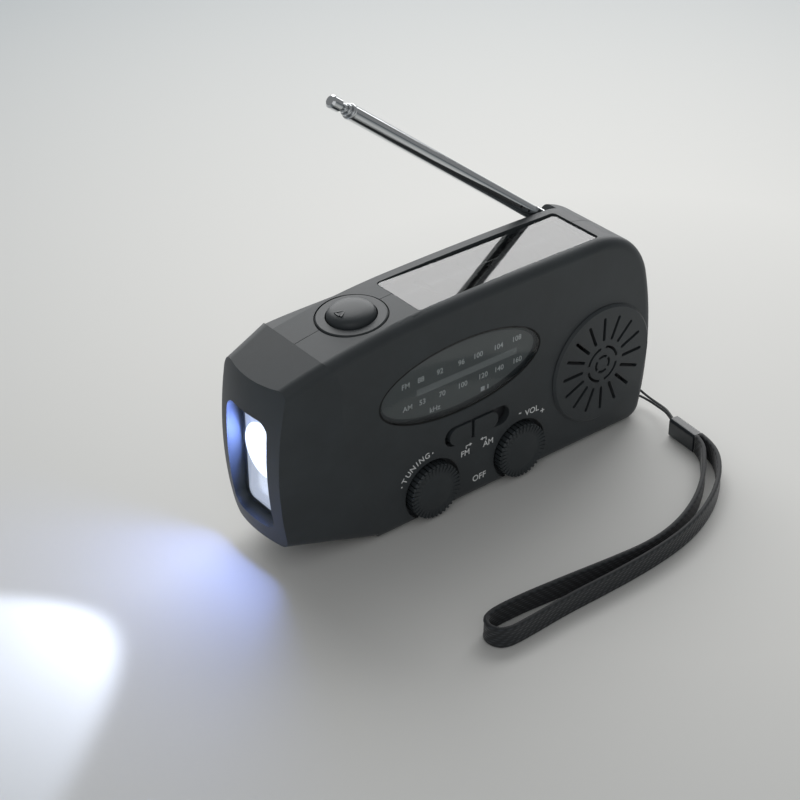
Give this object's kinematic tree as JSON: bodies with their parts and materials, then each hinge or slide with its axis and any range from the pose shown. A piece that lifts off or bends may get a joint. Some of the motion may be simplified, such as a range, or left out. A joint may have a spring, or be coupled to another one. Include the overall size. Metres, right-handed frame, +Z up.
{
  "type": "emergency radio",
  "caption": "Pocket emergency radio with torch end, round speaker grille, oval tuning dial, solar panel, fold-out telescopic antenna, wind-up crank and wrist strap.",
  "frame": {"origin": "centre of the flat base that the radio stands on", "axes": "+X towards the speaker end, -Y out of the front face with the dial, +Z up"},
  "size_m": [0.1287, 0.0919, 0.1143],
  "materials": {
    "case_soft": "soft-touch matte",
    "head_soft": "soft-touch matte",
    "control_plastic": "fine matte",
    "inner_plastic": "as moulded",
    "gear_plastic": "as moulded",
    "clear_plastic": "polished",
    "cell_film": "gloss",
    "dial_print": "printed matte",
    "pointer_plastic": "gloss",
    "reflector_chrome": "mirror",
    "lamp_resin": "clear resin",
    "board_laminate": "lacquered",
    "steel": "plain",
    "chrome": "polished",
    "magnet_iron": "plain",
    "cone_paper": "pressed paper",
    "coil_copper": "enamelled wire",
    "cell_sleeve": "shrink sleeve",
    "rubber": "matte",
    "strap_weave": "woven",
    "clasp_plastic": "gloss"
  },
  "bodies": {
    "radio": {"front_shell": "case_soft", "rear_shell": "case_soft", "torch_head": "head_soft", "torch_lens": "clear_plastic", "torch_reflector": "reflector_chrome", "torch_led": "lamp_resin", "torch_board": "board_laminate", "button_ring": "control_plastic", "press_switch": "inner_plastic", "button_board": "board_laminate", "solar_window": "clear_plastic", "solar_cell": "cell_film", "dial_window": "clear_plastic", "dial_plate": "dial_print", "dial_cord": "strap_weave", "dial_pulleys": "gear_plastic", "tuning_capacitor": "inner_plastic", "volume_control": "inner_plastic", "band_switch": "inner_plastic", "main_board": "board_laminate", "speaker_frame": "steel", "speaker_cone": "cone_paper", "speaker_magnet": "magnet_iron", "ferrite_rod": "magnet_iron", "aerial_coil": "coil_copper", "battery_pack": "cell_sleeve", "charge_board": "board_laminate", "charge_socket": "steel", "socket_cover": "rubber", "gear_frame": "steel", "frame_screws": "steel", "dynamo_stator": "steel", "case_screws": "steel", "antenna_pin": "steel", "strap_bar": "steel", "strap_thread": "strap_weave", "strap_clasp": "clasp_plastic", "strap_band": "strap_weave"},
    "tuning": {"tuning_knob": "control_plastic", "tuning_shaft": "gear_plastic"},
    "pointer": {"dial_pointer": "pointer_plastic"},
    "volume": {"volume_knob": "control_plastic", "volume_shaft": "gear_plastic"},
    "slider": {"band_slider": "control_plastic"},
    "button": {"torch_button": "control_plastic"},
    "crank": {"crank_arm": "control_plastic", "crank_shaft": "steel", "crank_gear": "gear_plastic", "grip_pin": "steel"},
    "stem": {"grip_stem": "steel"},
    "grip": {"crank_grip": "control_plastic"},
    "idler": {"idler_gear": "gear_plastic"},
    "rotor": {"dynamo_rotor": "magnet_iron"},
    "antenna": {"antenna_base": "chrome"},
    "antenna_first": {"antenna_section_1": "chrome"},
    "antenna_second": {"antenna_section_2": "chrome"},
    "antenna_third": {"antenna_section_3": "chrome"}
  },
  "joints": [
    {"name": "tuning_turn", "type": "hinge", "parent": "radio", "child": "tuning", "pos_m": [-0.016, -0.012, 0.0087], "axis": [0, 1, 0], "range_deg": [-222, 70]},
    {"name": "pointer_slide", "type": "slide", "parent": "radio", "child": "pointer", "axis": [1, 0, 0], "range_m": [-0.0236, 0.0076]},
    {"name": "volume_turn", "type": "hinge", "parent": "radio", "child": "volume", "pos_m": [0.0142, -0.012, 0.0087], "axis": [0, 1, 0], "range_deg": [-150, 150]},
    {"name": "band_slide", "type": "slide", "parent": "radio", "child": "slider", "axis": [1, 0, 0], "range_m": [0, 0.0038]},
    {"name": "torch_press", "type": "slide", "parent": "radio", "child": "button", "axis": [0.1043, 0, -0.9945], "range_m": [0, 0.001], "stiffness_N_per_m": 400, "springref_m": -0.0005},
    {"name": "crank_spin", "type": "hinge", "parent": "radio", "child": "crank", "pos_m": [0.004, 0.016, 0.03], "axis": [0, 1, 0], "continuous": true},
    {"name": "grip_fold", "type": "hinge", "parent": "crank", "child": "stem", "pos_m": [0.044, 0.0207, 0.03], "axis": [0, 0, 1], "range_deg": [-90, 0]},
    {"name": "grip_spin", "type": "hinge", "parent": "stem", "child": "grip", "pos_m": [0.024, 0.0207, 0.03], "axis": [1, 0, 0], "continuous": true},
    {"name": "idler_spin", "type": "hinge", "parent": "radio", "child": "idler", "pos_m": [-0.0146, 0.008, 0.03], "axis": [0, 1, 0], "continuous": true},
    {"name": "rotor_spin", "type": "hinge", "parent": "radio", "child": "rotor", "pos_m": [-0.02344, 0.004, 0.01947], "axis": [0, 1, 0], "continuous": true},
    {"name": "antenna_swing", "type": "hinge", "parent": "radio", "child": "antenna", "pos_m": [0.0429, 0.0122, 0.0593], "axis": [0, 1, 0], "range_deg": [-36.5, 67]},
    {"name": "antenna_slide_1", "type": "slide", "parent": "antenna", "child": "antenna_first", "axis": [-0.7923, 0, 0.6101], "range_m": [0, 0.06]},
    {"name": "antenna_slide_2", "type": "slide", "parent": "antenna_first", "child": "antenna_second", "axis": [-0.7923, 0, 0.6101], "range_m": [0, 0.06]},
    {"name": "antenna_slide_3", "type": "slide", "parent": "antenna_second", "child": "antenna_third", "axis": [-0.7923, 0, 0.6101], "range_m": [0, 0.06]}
  ],
  "couplings": [
    {"joint": "pointer_slide", "follows": "tuning_turn", "m_per_rad": 0.00602},
    {"joint": "idler_spin", "follows": "crank_spin", "ratio": -4.1667},
    {"joint": "rotor_spin", "follows": "crank_spin", "ratio": 16.667}
  ]
}
